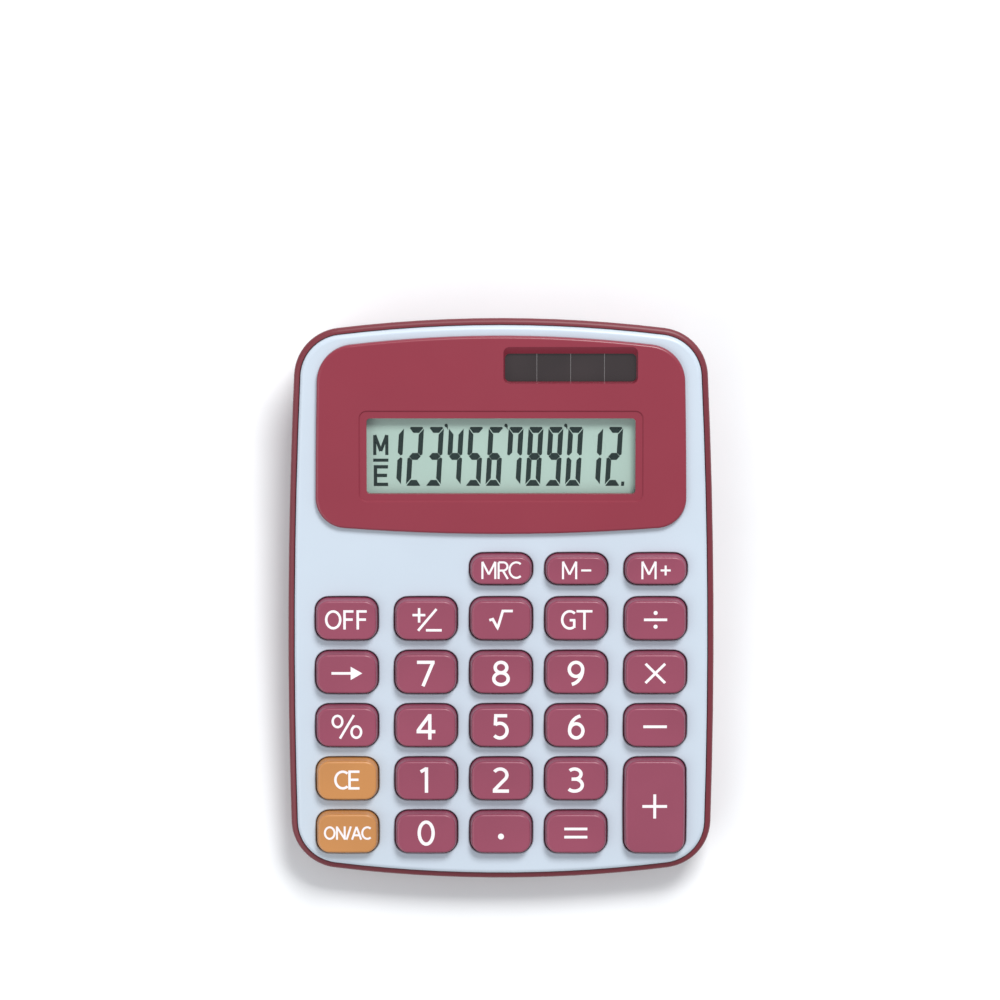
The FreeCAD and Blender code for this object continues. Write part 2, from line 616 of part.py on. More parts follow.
def make_lower_shell():
    """The red lower shell: wedge, screw columns, battery bay and the slide for its cover. Desk frame."""
    deep = -40.0
    outer = make_casing_block()
    ledge = -SKIRT_DEPTH - 0.2
    cavity = taper(case_outline(SHELL_WALL + DRAFT * (ledge - deep)), deep, case_outline(SHELL_WALL), ledge)
    cavity = on_desk(cavity).common(box((-99, -99, BASE_HIGH), (99, 99, 99)))
    rebate = on_desk(prism(case_outline(RIM_WIDTH - RIM_GAP), ledge, 1))
    shell = outer.cut([cavity, rebate])

    columns, holes = [], []
    core = taper(case_outline(1.0 + DRAFT * (RIM_TOP - deep)), deep, case_outline(1.0), RIM_TOP)
    core = on_desk(core).common(box((-99, -99, BASE_LOW + 0.5), (99, 99, 99)))
    for x, y in CASE_SCREWS:
        columns.append(on_desk(post(x, y, COLUMN_RADIUS, deep, -SKIRT_DEPTH)).common(core))
        holes.append(on_desk(post(x, y, SCREW_HEAD_RADIUS + 0.3, deep, CASE_SCREW_LOW + SCREW_HEAD)))
        holes.append(on_desk(post(x, y, SCREW_RADIUS + 0.2, deep, 0)))

    bay = box((BAY_LOW_X - BAY_WALL, BATTERY_Y - BAY_HALF_Y - BAY_WALL, BASE_LOW + DOOR_PLATE + 0.2),
              (BAY_HIGH_X + BAY_WALL, BATTERY_Y + BAY_HALF_Y + BAY_WALL, BAY_HIGH_Z))
    room = box((BAY_LOW_X, BATTERY_Y - BAY_HALF_Y, 0), (BAY_HIGH_X, BATTERY_Y + BAY_HALF_Y, 99))
    recesses = [post(x, y, FOOT_RADIUS + 0.1, 0, BASE_LOW + FOOT_RECESS) for x, y in FEET]
    shell = shell.fuse([bay, *columns]).cut([room, *door_slot(DOOR_GAP), *holes, *recesses])
    return shell.removeSplitter()


def make_battery_cover():
    """The battery cover: a plate that slides out to the rear on two side tongues. Desk frame."""
    plate, tongues = door_slot(0.0)
    door = plate.fuse(tongues).common(make_casing_block())
    middle = (DOOR_LOW_X + DOOR_HIGH_X) / 2
    grooves = []
    for i in range(6):
        y = DOOR_GRIP_Y - 1.5 * i
        grooves.append(box((middle - 9.0, y - 0.35, 0), (middle + 9.0, y + 0.35, BASE_LOW + 0.4)))
    tip = DOOR_GRIP_Y - 13.5
    corners = [V(middle + x, tip + y, 0) for x, y in ((0, 4.0), (-3.2, 0), (3.2, 0), (0, 4.0))]
    arrow = Part.Face(Part.makePolygon(corners)).extrude(V(0, 0, BASE_LOW + 0.4))
    return door.cut([*grooves, arrow]).removeSplitter()


def make_battery():
    """An AAA cell, with its raised positive end towards +X. Desk frame."""
    low_x = BATTERY_X_LOW
    can = Part.makeCylinder(BATTERY_RADIUS, BATTERY_LENGTH, V(low_x, BATTERY_Y, BATTERY_Z), V(1, 0, 0))
    can = can.makeFillet(0.6, [e for e in can.Edges if e.BoundBox.XLength < 1e-6])
    nub = Part.makeCylinder(1.9, 0.8, V(low_x + BATTERY_LENGTH, BATTERY_Y, BATTERY_Z), V(1, 0, 0))
    return can.fuse(nub)


def make_battery_contact():
    """The flat positive contact at the end of the battery bay. Desk frame."""
    plate = box((BAY_HIGH_X - 0.5, BATTERY_Y - 4, BASE_HIGH + 1), (BAY_HIGH_X, BATTERY_Y + 4, CONTACT_HIGH_Z))
    dimple = Part.makeCylinder(1.6, 0.4, V(BAY_HIGH_X - 0.9, BATTERY_Y, BATTERY_Z), V(1, 0, 0))
    return plate.fuse(dimple)


def make_battery_spring():
    """The conical negative spring on its plate. Desk frame."""
    wire, turns_radius, length = 0.5, 3.4, BATTERY_X_LOW - BAY_LOW_X - 0.4
    plate = box((BAY_LOW_X, BATTERY_Y - 4, BASE_HIGH + 1), (BAY_LOW_X + 0.4, BATTERY_Y + 4, CONTACT_HIGH_Z))
    height = length - wire
    helix = Part.makeHelix(height / 4, height, turns_radius, -14.0)
    section = Part.Wire(Part.makeCircle(wire / 2, V(turns_radius, 0, 0), V(0, 1, 0)))
    coil = Part.Wire(helix).makePipeShell([section], True, True)
    coil.rotate(V(0, 0, 0), V(0, 1, 0), 90)
    coil.translate(V(BAY_LOW_X + 0.4 + wire / 2 - 0.05, BATTERY_Y, BATTERY_Z))
    return plate.fuse(coil)


def under_board(x, y):
    """The point, in the desk frame, where a wire runs along the back of the circuit board."""
    return on_desk(Part.Vertex(x, y, BOARD_LOW - WIRE_DIAMETER / 2)).Vertexes[0].Point


def make_battery_wires():
    """The two leads from the battery contacts to the circuit board, as separate solids. Desk frame."""
    leads = []
    start_z = CONTACT_HIGH_Z + WIRE_DIAMETER / 2
    for start_x, end_x in ((BAY_LOW_X + 0.3, -37.7), (BAY_HIGH_X - 0.3, 38.5)):
        side = math.copysign(1, end_x)
        near, end = under_board(end_x, 12.0), under_board(end_x - side * 2, 7.0)
        route = [
            (start_x, BATTERY_Y - 2.0, start_z), (start_x, BATTERY_Y + 4.0, start_z),
            (start_x + side * 2, BATTERY_Y + 5.5, start_z), (end_x, BATTERY_Y + 1.0, start_z - 2.0),
            (end_x, 40.0, 10.0), (end_x, 26.0, 8.6), (near.x, near.y, near.z), (end.x, end.y, end.z),
        ]
        leads.append(tube(route, WIRE_DIAMETER))
    return Part.makeCompound(leads)


def make_solar_wires():
    """The two leads from the solar cell to the circuit board, as separate solids."""
    leads = []
    behind = SOLAR_TOP - SOLAR_CELL[2] - WIRE_DIAMETER / 2
    under = BOARD_LOW - WIRE_DIAMETER / 2
    for start_x, end_x, back_y in ((8.0, 41.6, 52.6), (26.0, 43.3, 53.9)):
        route = [
            (start_x - 2.0, SOLAR_CENTRE[1], behind), (start_x, SOLAR_CENTRE[1], behind),
            (start_x + 4.0, back_y, -6.0), (end_x - 6.0, back_y, -6.0), (end_x, 46.0, -6.6),
            (end_x, 26.0, -7.6), (end_x - 1.0, 20.0, -9.6), (end_x - 2.0, 14.0, under),
            (end_x - 2.5, 9.0, under),
        ]
        leads.append(tube(route, WIRE_DIAMETER))
    return Part.makeCompound(leads)


def make_rubber_feet():
    """The four round feet, glued into shallow recesses, as separate solids. Desk frame."""
    feet = []
    for x, y in FEET:
        foot = post(x, y, FOOT_RADIUS, 0, BASE_LOW + FOOT_RECESS)
        feet.append(foot.makeFillet(0.35, edges_at(foot, 0)))
    return Part.makeCompound(feet)


def make_rating_label():
    """The blank rating label on the underside. Desk frame."""
    return prism(rounded((0, -6), (46, 24), 2.0), BASE_LOW - 0.12, BASE_LOW)


def main():
    os.makedirs("parts", exist_ok=True)
    in_face_frame = {
        "top_cover": make_top_cover(),
        "display_bezel": make_display_bezel(),
        "display_window": make_display_window(),
        "window_tape": make_window_tape(),
        "lcd_front_glass": make_lcd_front_glass(),
        "lcd_rear_glass": make_lcd_rear_glass(),
        "lcd_reflector": make_lcd_reflector(),
        "lcd_holder": make_lcd_holder(),
        "lcd_ribbon": make_lcd_ribbon(),
        "lcd_holder_screws": make_holder_screws(),
        "solar_cell": make_solar_cell(),
        "solar_wires": make_solar_wires(),
        "keypad_membrane": make_keypad_membrane(),
        "contact_pills": make_contact_pills(),
        "circuit_board": make_circuit_board(),
        "processor_chip": make_chip(),
        "board_components": make_board_components(),
        "board_screws": make_board_screws(),
        "case_screws": make_case_screws(),
        **make_keys(),
    }
    on_the_desk = {
        "lower_shell": make_lower_shell(),
        "battery_cover": make_battery_cover(),
        "battery": make_battery(),
        "battery_contact": make_battery_contact(),
        "battery_spring": make_battery_spring(),
        "battery_wires": make_battery_wires(),
        "rubber_feet": make_rubber_feet(),
        "rating_label": make_rating_label(),
    }
    nodes = {name: on_desk(shape) for name, shape in in_face_frame.items()}
    nodes.update(on_the_desk)
    for name, shape in nodes.items():
        shape.exportStep(os.path.join("parts", name + ".step"))
        print(name, "solids", len(shape.Solids), "valid", shape.isValid(), "mm3", round(shape.Volume, 1))


if __name__ == "__main__":
    main()
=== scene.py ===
"""Desk calculator: materials, printed legends, LCD figures, solar cell lines, floor, lights and camera.

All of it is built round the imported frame. Flat drawings and the patterns of the materials are in millimetres,
and everything that reaches Blender is in metres.
"""

import json
import math

import bmesh
import bpy
from mathutils import Matrix, Vector
from mathutils.bvhtree import BVHTree
from mathutils.geometry import delaunay_2d_cdt


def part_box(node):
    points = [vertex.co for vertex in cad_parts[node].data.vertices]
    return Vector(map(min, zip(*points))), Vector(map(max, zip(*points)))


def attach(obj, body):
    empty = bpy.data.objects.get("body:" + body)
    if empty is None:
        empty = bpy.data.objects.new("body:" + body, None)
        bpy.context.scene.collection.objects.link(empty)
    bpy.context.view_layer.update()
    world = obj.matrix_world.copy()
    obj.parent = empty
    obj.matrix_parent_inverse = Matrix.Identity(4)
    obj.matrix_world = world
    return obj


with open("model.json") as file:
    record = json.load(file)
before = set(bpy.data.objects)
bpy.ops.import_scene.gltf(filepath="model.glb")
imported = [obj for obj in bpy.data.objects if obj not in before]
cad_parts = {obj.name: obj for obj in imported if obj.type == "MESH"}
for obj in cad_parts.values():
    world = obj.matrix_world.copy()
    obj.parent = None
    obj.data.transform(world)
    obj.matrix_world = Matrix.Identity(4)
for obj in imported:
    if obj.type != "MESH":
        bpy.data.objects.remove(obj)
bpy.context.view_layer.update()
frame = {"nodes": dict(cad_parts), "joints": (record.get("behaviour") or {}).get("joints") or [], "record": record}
NODES = frame["nodes"]
RECORD = frame["record"]
BODY_OF = {node: body for body, nodes in RECORD["behaviour"]["bodies"].items() for node in nodes}
MM = 0.001

# The face leans: its own axes come from the direction in which a key is pressed.
PRESS = Vector(next(j["axis"] for j in frame["joints"] if j["name"] == "key_5_press"))
FACE_OUT = -PRESS.normalized()
FACE_X = Vector((1, 0, 0))
FACE_Y = FACE_OUT.cross(FACE_X)


# ---------------------------------------------------------------- materials

# Sizes of the broad patterns that every moulded surface has, in millimetres
MOTTLE_SIZE = 22.0
GLOSS_PATCH_SIZE = 18.0
FLOW_WAVE_SIZE = 14.0
GLOSS_SHIFT = 0.03

# How much the clear window mirrors head on, how much more at a grazing angle, and how late that rise comes
MIRROR_HEAD_ON = 0.015
MIRROR_RISE = 0.55
MIRROR_POWER = 4.0


def new_material(name):
    """An empty node material with its Principled shader and output linked."""
    material = bpy.data.materials.new(name)
    material.use_nodes = True
    tree = material.node_tree
    tree.nodes.clear()
    shader = tree.nodes.new("ShaderNodeBsdfPrincipled")
    output = tree.nodes.new("ShaderNodeOutputMaterial")
    tree.links.new(shader.outputs[0], output.inputs["Surface"])
    return material, tree, shader


def noise(tree, size_mm, detail=3.0, roughness=0.55, stretch=(1, 1, 1)):
    """A noise pattern in the object's own coordinates, with features of about this size."""
    coord = tree.nodes.new("ShaderNodeTexCoord")
    scaled = tree.nodes.new("ShaderNodeMapping")
    scaled.inputs["Scale"].default_value = stretch
    pattern = tree.nodes.new("ShaderNodeTexNoise")
    pattern.inputs["Scale"].default_value = 1.0 / (size_mm * MM)
    pattern.inputs["Detail"].default_value = detail
    pattern.inputs["Roughness"].default_value = roughness
    tree.links.new(coord.outputs["Object"], scaled.inputs["Vector"])
    tree.links.new(scaled.outputs[0], pattern.inputs["Vector"])
    return pattern.outputs["Fac"]


def spread(tree, value, low, high):
    """The pattern's middle range stretched between two values."""
    node = tree.nodes.new("ShaderNodeMapRange")
    node.inputs["From Min"].default_value = 0.3
    node.inputs["From Max"].default_value = 0.7
    node.inputs["To Min"].default_value = low
    node.inputs["To Max"].default_value = high
    tree.links.new(value, node.inputs["Value"])
    return node.outputs[0]


def two_tone(tree, value, colour_a, colour_b):
    """A colour between two, by a pattern."""
    node = tree.nodes.new("ShaderNodeMix")
    node.data_type = "RGBA"
    node.inputs["A"].default_value = (*colour_a, 1)
    node.inputs["B"].default_value = (*colour_b, 1)
    tree.links.new(value, node.inputs["Factor"])
    return node.outputs["Result"]


def bump(tree, height, depth_mm, normal=None):
    """A normal bent by a height pattern of this depth."""
    node = tree.nodes.new("ShaderNodeBump")
    node.inputs["Strength"].default_value = 1.0
    node.inputs["Distance"].default_value = depth_mm * MM
    tree.links.new(height, node.inputs["Height"])
    if normal is not None:
        tree.links.new(normal, node.inputs["Normal"])
    return node.outputs[0]


def shade(colour, factor):
    """A colour made lighter or darker."""
    return tuple(min(1.0, c * factor) for c in colour)


def moulded(name, colour, rough, grain=0.35, grain_depth=0.004, wave_depth=0.02, mottle=0.05, coat=0.0,
            specular=0.5):
    """Moulded plastic: a fine grain over faint flow waves, with small shifts of colour and gloss."""
    material, tree, shader = new_material(name)
    broad = noise(tree, MOTTLE_SIZE, 2.0)
    fine = noise(tree, grain, 2.0, 0.6)
    mixed = two_tone(tree, spread(tree, broad, 0, 1), shade(colour, 1 - mottle), shade(colour, 1 + mottle))
    tree.links.new(mixed, shader.inputs["Base Color"])
    gloss = spread(tree, noise(tree, GLOSS_PATCH_SIZE, 1.5), rough - GLOSS_SHIFT, rough + GLOSS_SHIFT)
    tree.links.new(gloss, shader.inputs["Roughness"])
    waves = bump(tree, noise(tree, FLOW_WAVE_SIZE, 1.0), wave_depth)
    tree.links.new(bump(tree, fine, grain_depth, waves), shader.inputs["Normal"])
    shader.inputs["Specular IOR Level"].default_value = specular
    shader.inputs["Coat Weight"].default_value = coat
    shader.inputs["Coat Roughness"].default_value = 0.12
    return material


def rubbery(name, colour, rough=0.75):
    """Rubber with a fine matt grain and a little dust in its colour."""
    material, tree, shader = new_material(name)
    mixed = two_tone(tree, spread(tree, noise(tree, 3.0, 5.0), 0, 1), colour, shade(colour, 1.6))
    tree.links.new(mixed, shader.inputs["Base Color"])
    tree.links.new(spread(tree, noise(tree, 2.0), rough - 0.08, rough + 0.08), shader.inputs["Roughness"])
    tree.links.new(bump(tree, noise(tree, 0.25, 2.0), 0.01), shader.inputs["Normal"])
    return material


def metal(name, colour, rough, stretch=(1, 12, 12)):
    """Plated or brushed metal with drawn lines."""
    material, tree, shader = new_material(name)
    drawn = noise(tree, 1.2, 3.0, 0.6, stretch)
    mixed = two_tone(tree, spread(tree, drawn, 0, 1), shade(colour, 0.85), colour)
    tree.links.new(mixed, shader.inputs["Base Color"])
    tree.links.new(spread(tree, drawn, rough - 0.06, rough + 0.08), shader.inputs["Roughness"])
    tree.links.new(bump(tree, drawn, 0.004), shader.inputs["Normal"])
    shader.inputs["Metallic"].default_value = 1.0
    return material


def clear_window(name):
    """Clear acrylic: what is behind shows through, under a thin reflection that grows at grazing angles."""
    material, tree, shader = new_material(name)
    output = next(n for n in tree.nodes if n.type == "OUTPUT_MATERIAL")
    tree.nodes.remove(shader)
    through = tree.nodes.new("ShaderNodeBsdfTransparent")
    through.inputs["Color"].default_value = (0.97, 0.985, 0.98, 1)
    gloss = tree.nodes.new("ShaderNodeBsdfGlossy")
    gloss.inputs["Color"].default_value = (1, 1, 1, 1)
    tree.links.new(spread(tree, noise(tree, 9.0, 4.0), 0.03, 0.09), gloss.inputs["Roughness"])
    facing = tree.nodes.new("ShaderNodeLayerWeight")
    facing.inputs["Blend"].default_value = 0.5
    steep = tree.nodes.new("ShaderNodeMath")
    steep.operation = "POWER"
    steep.inputs[1].default_value = MIRROR_POWER
    share = tree.nodes.new("ShaderNodeMath")
    share.operation = "MULTIPLY_ADD"
    share.inputs[1].default_value = MIRROR_RISE
    share.inputs[2].default_value = MIRROR_HEAD_ON
    tree.links.new(facing.outputs["Facing"], steep.inputs[0])
    tree.links.new(steep.outputs[0], share.inputs[0])
    mix = tree.nodes.new("ShaderNodeMixShader")
    tree.links.new(share.outputs[0], mix.inputs[0])
    tree.links.new(through.outputs[0], mix.inputs[1])
    tree.links.new(gloss.outputs[0], mix.inputs[2])
    tree.links.new(mix.outputs[0], output.inputs["Surface"])
    return material


COVER_WHITE = (0.505, 0.575, 0.65)
SHELL_RED = (0.150, 0.017, 0.027)
BEZEL_RED = (0.230, 0.024, 0.044)
KEY_RED = (0.25, 0.050, 0.090)
KEY_ORANGE = (0.49, 0.212, 0.064)
LCD_GREEN = (0.40, 0.505, 0.455)
SOLAR_BROWN = (0.026, 0.018, 0.019)

MATERIALS = {
    "cover_white": moulded("cover_white", COVER_WHITE, 0.36, grain=0.45, grain_depth=0.0025,
                           wave_depth=0.015, mottle=0.015),
    "shell_red": moulded("shell_red", SHELL_RED, 0.45, grain=0.40, grain_depth=0.006, mottle=0.03),
    "bezel_red": moulded("bezel_red", BEZEL_RED, 0.32, grain=0.50, grain_depth=0.0015,
                         wave_depth=0.012, mottle=0.02),
    "key_red": moulded("key_red", KEY_RED, 0.34, grain_depth=0.003, wave_depth=0.008),
    "key_orange": moulded("key_orange", KEY_ORANGE, 0.34, grain_depth=0.003, wave_depth=0.008, mottle=0.04),
    "window_clear": clear_window("window_clear"),
    "lcd_glass": moulded("lcd_glass", LCD_GREEN, 0.30, grain=0.8, grain_depth=0.0005,
                         wave_depth=0.002, mottle=0.02),
    "lcd_film": moulded("lcd_film", LCD_GREEN, 0.45, grain=0.3, wave_depth=0.004, mottle=0.03),
    "foam_black": rubbery("foam_black", (0.015, 0.015, 0.015)),
    "holder_grey": moulded("holder_grey", (0.10, 0.10, 0.11), 0.5),
    "ribbon_film": moulded("ribbon_film", (0.25, 0.17, 0.07), 0.4),
    "solar_dark": moulded("solar_dark", SOLAR_BROWN, 0.16, grain=0.25, grain_depth=0.0004,
                          wave_depth=0.001, mottle=0.25, coat=0.4),
    "wire_sleeve": moulded("wire_sleeve", (0.30, 0.02, 0.02), 0.45),
    "membrane_rubber": rubbery("membrane_rubber", (0.40, 0.41, 0.42), 0.6),
    "pill_carbon": rubbery("pill_carbon", (0.015, 0.015, 0.015), 0.6),
    "board_green": moulded("board_green", (0.03, 0.14, 0.06), 0.35, grain=1.2, grain_depth=0.01,
                           wave_depth=0.03, mottle=0.15),
    "epoxy_black": moulded("epoxy_black", (0.01, 0.01, 0.012), 0.25),
    "component_body": moulded("component_body", (0.20, 0.15, 0.10), 0.4),
    "screw_steel": metal("screw_steel", (0.58, 0.58, 0.57), 0.28, (6, 6, 6)),
    "battery_jacket": moulded("battery_jacket", (0.05, 0.10, 0.25), 0.3),
    "contact_metal": metal("contact_metal", (0.62, 0.60, 0.56), 0.25),
    "foot_rubber": rubbery("foot_rubber", (0.022, 0.022, 0.024)),
    "label_silver": metal("label_silver", (0.60, 0.60, 0.61), 0.42, (1, 20, 20)),
}
INK_WHITE = moulded("ink_white", (0.80, 0.76, 0.77), 0.42, grain=0.3, wave_depth=0.002, mottle=0.03)
INK_LCD = moulded("ink_lcd", (0.012, 0.024, 0.023), 0.45, grain=0.3, grain_depth=0.002, wave_depth=0.002,
                  mottle=0.12, specular=0.15)
LINE_SILVER = metal("line_silver", (0.36, 0.33, 0.33), 0.35)

SLOT_OF = {part["node"]: part["material_slot"] for part in RECORD["subparts"]}
for node, obj in NODES.items():
    for place in obj.material_slots:
        place.material = MATERIALS[SLOT_OF[node]]


# ---------------------------------------------------------------- flat drawings, in millimetres

# The angle between an arc's points in degrees, the longest run between a stroke's points, and how far a
# corner may reach out in half pen widths
ARC_STEP = 9
RUN_STEP = 0.6
MITRE_LIMIT = 1.6

# The height of the letters as drawn below, and the widths of the pens
LETTER_HEIGHT = 4.9
SMALL_PEN, LETTER_PEN, SIGN_PEN, FIGURE_PEN = 0.5, 0.62, 0.66, 0.84


def arc(x, y, radius_x, radius_y, start, end):
    """Points along an elliptical arc, in degrees; counter-clockwise when end is larger."""
    steps = max(4, int(abs(end - start) / ARC_STEP))
    angles = [math.radians(start + (end - start) * i / steps) for i in range(steps + 1)]
    return [(x + radius_x * math.cos(a), y + radius_y * math.sin(a)) for a in angles]


def divided(points):
    """The points with extra ones, so that no run is longer than a step."""
    result = [points[0]]
    for (ax, ay), (bx, by) in zip(points, points[1:]):
        count = max(1, math.ceil(math.hypot(bx - ax, by - ay) / RUN_STEP))
        result += [(ax + (bx - ax) * i / count, ay + (by - ay) * i / count) for i in range(1, count + 1)]
    return result


def stroke(points, width):
    """The quads of a pen stroke with square ends and mitred corners."""
    points = divided(points)
    vectors = [Vector(p) for p in points]
    closed = (vectors[0] - vectors[-1]).length < 1e-6
    left, right = [], []
    for i, here in enumerate(vectors):
        before = vectors[i - 1] if i else (vectors[-2] if closed else None)
        after = vectors[i + 1] if i + 1 < len(vectors) else (vectors[1] if closed else None)
        into = (here - before).normalized() if before else None
        out = (after - here).normalized() if after else None
        into, out = into or out, out or into
        across = (Vector((-into.y, into.x)) + Vector((-out.y, out.x))).normalized()
        reach = width / 2 / max(1 / MITRE_LIMIT, across.dot(Vector((-out.y, out.x))))
        left.append(here + across * reach)
        right.append(here - across * reach)
    return [[left[i], right[i], right[i + 1], left[i + 1]] for i in range(len(vectors) - 1)]


def moved(glyph, x=0.0, y=0.0, scale=1.0, turn=False):
    """A glyph's strokes scaled, turned upside down or moved."""
    sign = -scale if turn else scale
    return [[(px * sign + x, py * sign + y) for px, py in line] for line in glyph]


# The strokes of the figures, 6.5 mm high, and of the letters, each about its own middle
SIX = [arc(0.05, -1.03, 1.68, 1.80, 0, 360), arc(1.72, -1.0, 3.35, 3.86, 178, 101)]
DIGITS = {
    "0": [arc(0, 0, 1.75, 2.84, 0, 360)],
    "1": [[(-1.35, 2.10), (0.1, 2.98)], [(0.1, 3.25), (0.1, -3.25)]],
    "2": [arc(-0.2, 1.28, 1.68, 1.56, 148, -36) + [(-1.72, -2.60)], [(-2.05, -2.84), (2.0, -2.84)]],
    "3": [arc(-0.35, 1.52, 1.62, 1.32, 138, -90), arc(-0.35, -1.30, 1.95, 1.55, 90, -138),
          [(-1.1, 0.22), (-0.3, 0.22)]],
    "4": [[(0.92, 3.02), (-1.98, -0.98)], [(-2.35, -1.25), (2.35, -1.25)], [(0.97, 3.25), (0.97, -3.25)]],
    "5": [[(-1.72, 2.84), (1.55, 2.84)], [(-1.32, 2.6), (-1.42, 0.35)],
          arc(-0.30, -0.98, 1.82, 1.88, 128, -138)],
    "6": SIX,
    "7": [[(-2.2, 2.84), (2.2, 2.84)], [(1.78, 2.75), (-0.72, -3.25)]],
    "8": [arc(0, 1.50, 1.45, 1.34, 0, 360), arc(0, -1.36, 1.80, 1.50, 0, 360)],
    "9": moved(SIX, turn=True),
}
# A letter's advance and its strokes
LETTERS = {
    "O": (4.35, [arc(0, 0, 1.75, 2.14, 0, 360)]),
    "F": (3.3, [[(-1.0, 2.45), (-1.0, -2.45)], [(-1.0, 2.14), (1.25, 2.14)], [(-1.0, 0.05), (1.05, 0.05)]]),
    "G": (3.8, [arc(0.25, 0, 1.85, 2.14, 48, 300), [(1.35, -2.0), (1.35, -0.1)],
                [(0.25, -0.1), (1.63, -0.1)]]),
    "T": (3.9, [[(-1.95, 2.14), (1.95, 2.14)], [(0, 2.14), (0, -2.45)]]),
    "C": (3.4, [arc(0.35, 0, 1.85, 2.14, 50, 310)]),
    "E": (2.9, [[(-1.1, 2.45), (-1.1, -2.45)], [(-1.1, 2.14), (1.4, 2.14)], [(-1.1, 0.05), (1.15, 0.05)],
                [(-1.1, -2.14), (1.4, -2.14)]]),
    "M": (4.4, [[(-1.75, -2.45), (-1.75, 2.3)], [(-1.75, 2.3), (0, -1.2)], [(0, -1.2), (1.75, 2.3)],
                [(1.75, 2.3), (1.75, -2.45)]]),
    "R": (3.2, [[(-1.15, -2.45), (-1.15, 2.14)],
                [(-1.15, 2.14), (0.1, 2.14)] + arc(0.1, 1.0, 1.15, 1.14, 88, -90) + [(-1.15, -0.14)],
                [(0.0, -0.14), (1.35, -2.45)]]),
    "N": (3.7, [[(-1.4, -2.45), (-1.4, 2.45)], [(-1.4, 2.2), (1.4, -2.2)], [(1.4, -2.45), (1.4, 2.45)]]),
    "A": (3.7, [[(-1.65, -2.45), (0, 2.3)], [(0, 2.3), (1.65, -2.45)], [(-1.0, -0.85), (1.0, -0.85)]]),
    "/": (2.0, [[(-0.8, -2.45), (0.8, 2.45)]]),
}


def lines(drawing, pen):
    """The quads of several strokes."""
    return [quad for line in drawing for quad in stroke(line, pen)]


def word(text, height, pen):
    """The quads of a word, centred, with letters of this height."""
    scale = height / LETTER_HEIGHT
    x = -sum(LETTERS[c][0] for c in text) * scale / 2
    quads = []
    for c in text:
        advance, strokes = LETTERS[c]
        quads += lines(moved(strokes, x + advance * scale / 2, 0, scale), pen)
        x += advance * scale
    return quads


def shifted(quads, x, y=0.0):
    """Quads moved across the face."""
    return [[p + Vector((x, y)) for p in quad] for quad in quads]


def disc(x, y, radius):
    """A filled round dot."""
    return [[Vector(p) for p in arc(x, y, radius, radius, 0, 345)]]


def memory_word(sign):
    """M with a small plus or minus after it."""
    quads = shifted(word("M", 4.6, SMALL_PEN), -1.7)
    quads += stroke([(1.2, -0.1), (3.7, -0.1)], SMALL_PEN)
    if sign == "+":
        quads += stroke([(2.45, -1.35), (2.45, 1.15)], SMALL_PEN)
    return quads


ARROW_HEAD = [Vector((1.0, 1.7)), Vector((1.0, -1.7)), Vector((3.9, 0))]
LEGENDS = {
    "key_memory_recall": word("MRC", 4.5, SMALL_PEN),
    "key_memory_minus": memory_word("-"),
    "key_memory_plus": memory_word("+"),
    "key_off": word("OFF", LETTER_HEIGHT, LETTER_PEN),
    "key_sign": lines([[(-3.3, 1.2), (-0.1, 1.2)], [(-1.65, 3.0), (-1.65, -0.7)],
                       [(2.7, 2.75), (-1.9, -2.75)], [(0.05, -2.65), (4.0, -2.65)]], LETTER_PEN),
    "key_root": lines([[(-2.9, -0.1), (-2.05, 0.15), (-0.85, -2.15), (0.45, 2.25), (2.95, 2.25)]], SIGN_PEN),
    "key_grand_total": shifted(word("GT", 5.0, LETTER_PEN), 0.1),
    "key_divide": lines([[(-2.9, 0), (2.9, 0)]], SIGN_PEN) + disc(0, 1.75, 0.52) + disc(0, -1.75, 0.52),
    "key_multiply": lines([[(-2.45, 2.45), (2.45, -2.45)], [(-2.45, -2.45), (2.45, 2.45)]], SIGN_PEN),
    "key_minus": lines([[(-2.95, 0), (2.95, 0)]], 0.70),
    "key_plus": lines([[(-3.1, 0), (3.1, 0)], [(0, -3.1), (0, 3.1)]], 0.72),
    "key_equals": lines([[(-2.9, 1.05), (2.9, 1.05)], [(-2.9, -1.05), (2.9, -1.05)]], 0.68),
    "key_point": disc(0, -0.9, 0.75),
    "key_percent": lines([arc(-2.35, 1.35, 1.2, 1.45, 0, 360), arc(2.35, -1.35, 1.2, 1.45, 0, 360),
                          [(1.75, 3.0), (-1.75, -3.0)]], 0.60),
    "key_shift": lines([[(-3.8, 0), (1.4, 0)]], SIGN_PEN) + [ARROW_HEAD],
    "key_clear": word("CE", LETTER_HEIGHT, LETTER_PEN),
    "key_on": word("ON/AC", 3.4, SMALL_PEN),
}
for digit, drawing in DIGITS.items():
    LEGENDS["key_" + digit] = lines(drawing, FIGURE_PEN)


# ---------------------------------------------------------------- printing on the CAD surfaces

# How far above a face the search for it starts, and how deep the ink goes into it
RAY_START = 20 * MM
INK_SINK = 0.02 * MM


def tree_of(node):
    """A search tree of a CAD node's faces."""
    mesh = NODES[node].data
    return BVHTree.FromPolygons([v.co for v in mesh.vertices], [p.vertices for p in mesh.polygons])


def middle(node):
    """The middle of a CAD node's box."""
    low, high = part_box(node)
    return (Vector(low) + Vector(high)) / 2


def signed_area(polygon):
    """The area of a flat polygon, negative when its corners run clockwise."""
    return sum(a[0] * b[1] - b[0] * a[1] for a, b in zip(polygon, polygon[1:] + polygon[:1])) / 2


